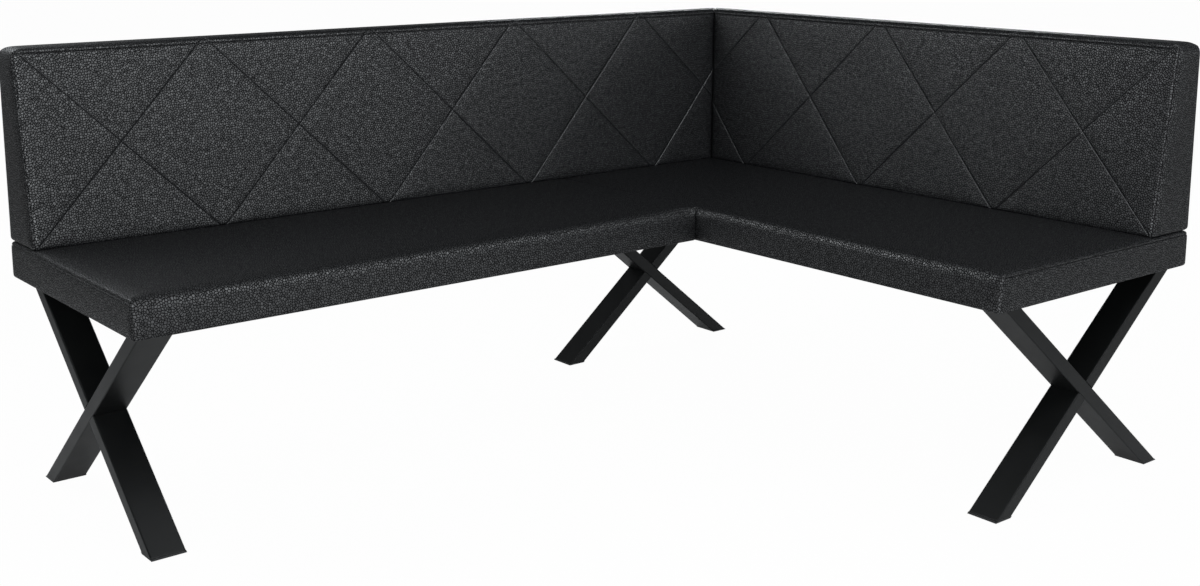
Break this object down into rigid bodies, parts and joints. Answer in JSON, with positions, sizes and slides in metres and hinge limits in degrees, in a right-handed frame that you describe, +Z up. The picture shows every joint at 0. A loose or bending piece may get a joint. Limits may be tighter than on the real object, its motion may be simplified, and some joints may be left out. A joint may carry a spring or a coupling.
{
  "type": "corner bench",
  "caption": "Upholstered L-shaped corner bench with wedge backs quilted in diamonds, mitred at the corner, on crossed steel tube legs.",
  "frame": {"origin": "on the floor, under the middle of the bench's outline seen from above", "axes": "+X along the long arm towards the corner, +Y towards the rear of the long arm, +Z up; the short arm comes forwards (-Y) at the +X end"},
  "size_m": [2, 1.486, 0.919],
  "materials": {
    "faux_leather": "satin",
    "foam": "matte",
    "plywood": "matte",
    "dust_sheet": "matte",
    "black_powder_coat": "satin",
    "black_plastic": "matte",
    "zinc_steel": "satin"
  },
  "bodies": {
    "root": {"long_seat_cover": "faux_leather", "long_seat_board": "plywood", "long_seat_foam": "foam", "long_seat_dust_sheet": "dust_sheet", "long_back_cover": "faux_leather", "long_back_rear_board": "plywood", "long_back_base_board": "plywood", "long_back_foam": "foam", "long_back_screws": "zinc_steel", "short_seat_cover": "faux_leather", "short_seat_board": "plywood", "short_seat_foam": "foam", "short_seat_dust_sheet": "dust_sheet", "short_back_cover": "faux_leather", "short_back_rear_board": "plywood", "short_back_base_board": "plywood", "short_back_foam": "foam", "short_back_screws": "zinc_steel", "left_leg_through_bar": "black_powder_coat", "left_leg_lower_bar": "black_powder_coat", "left_leg_upper_bar": "black_powder_coat", "left_leg_top_plate": "black_powder_coat", "left_leg_rear_foot_cap": "black_plastic", "left_leg_front_foot_cap": "black_plastic", "left_leg_screws": "zinc_steel", "right_leg_through_bar": "black_powder_coat", "right_leg_lower_bar": "black_powder_coat", "right_leg_upper_bar": "black_powder_coat", "right_leg_top_plate": "black_powder_coat", "right_leg_rear_foot_cap": "black_plastic", "right_leg_front_foot_cap": "black_plastic", "right_leg_screws": "zinc_steel", "corner_leg_through_bar": "black_powder_coat", "corner_leg_lower_bar": "black_powder_coat", "corner_leg_upper_bar": "black_powder_coat", "corner_leg_top_plate": "black_powder_coat", "corner_leg_rear_foot_cap": "black_plastic", "corner_leg_front_foot_cap": "black_plastic", "corner_leg_screws": "zinc_steel", "seat_joining_bars": "zinc_steel", "seat_joining_screws": "zinc_steel"}
  },
  "joints": []
}
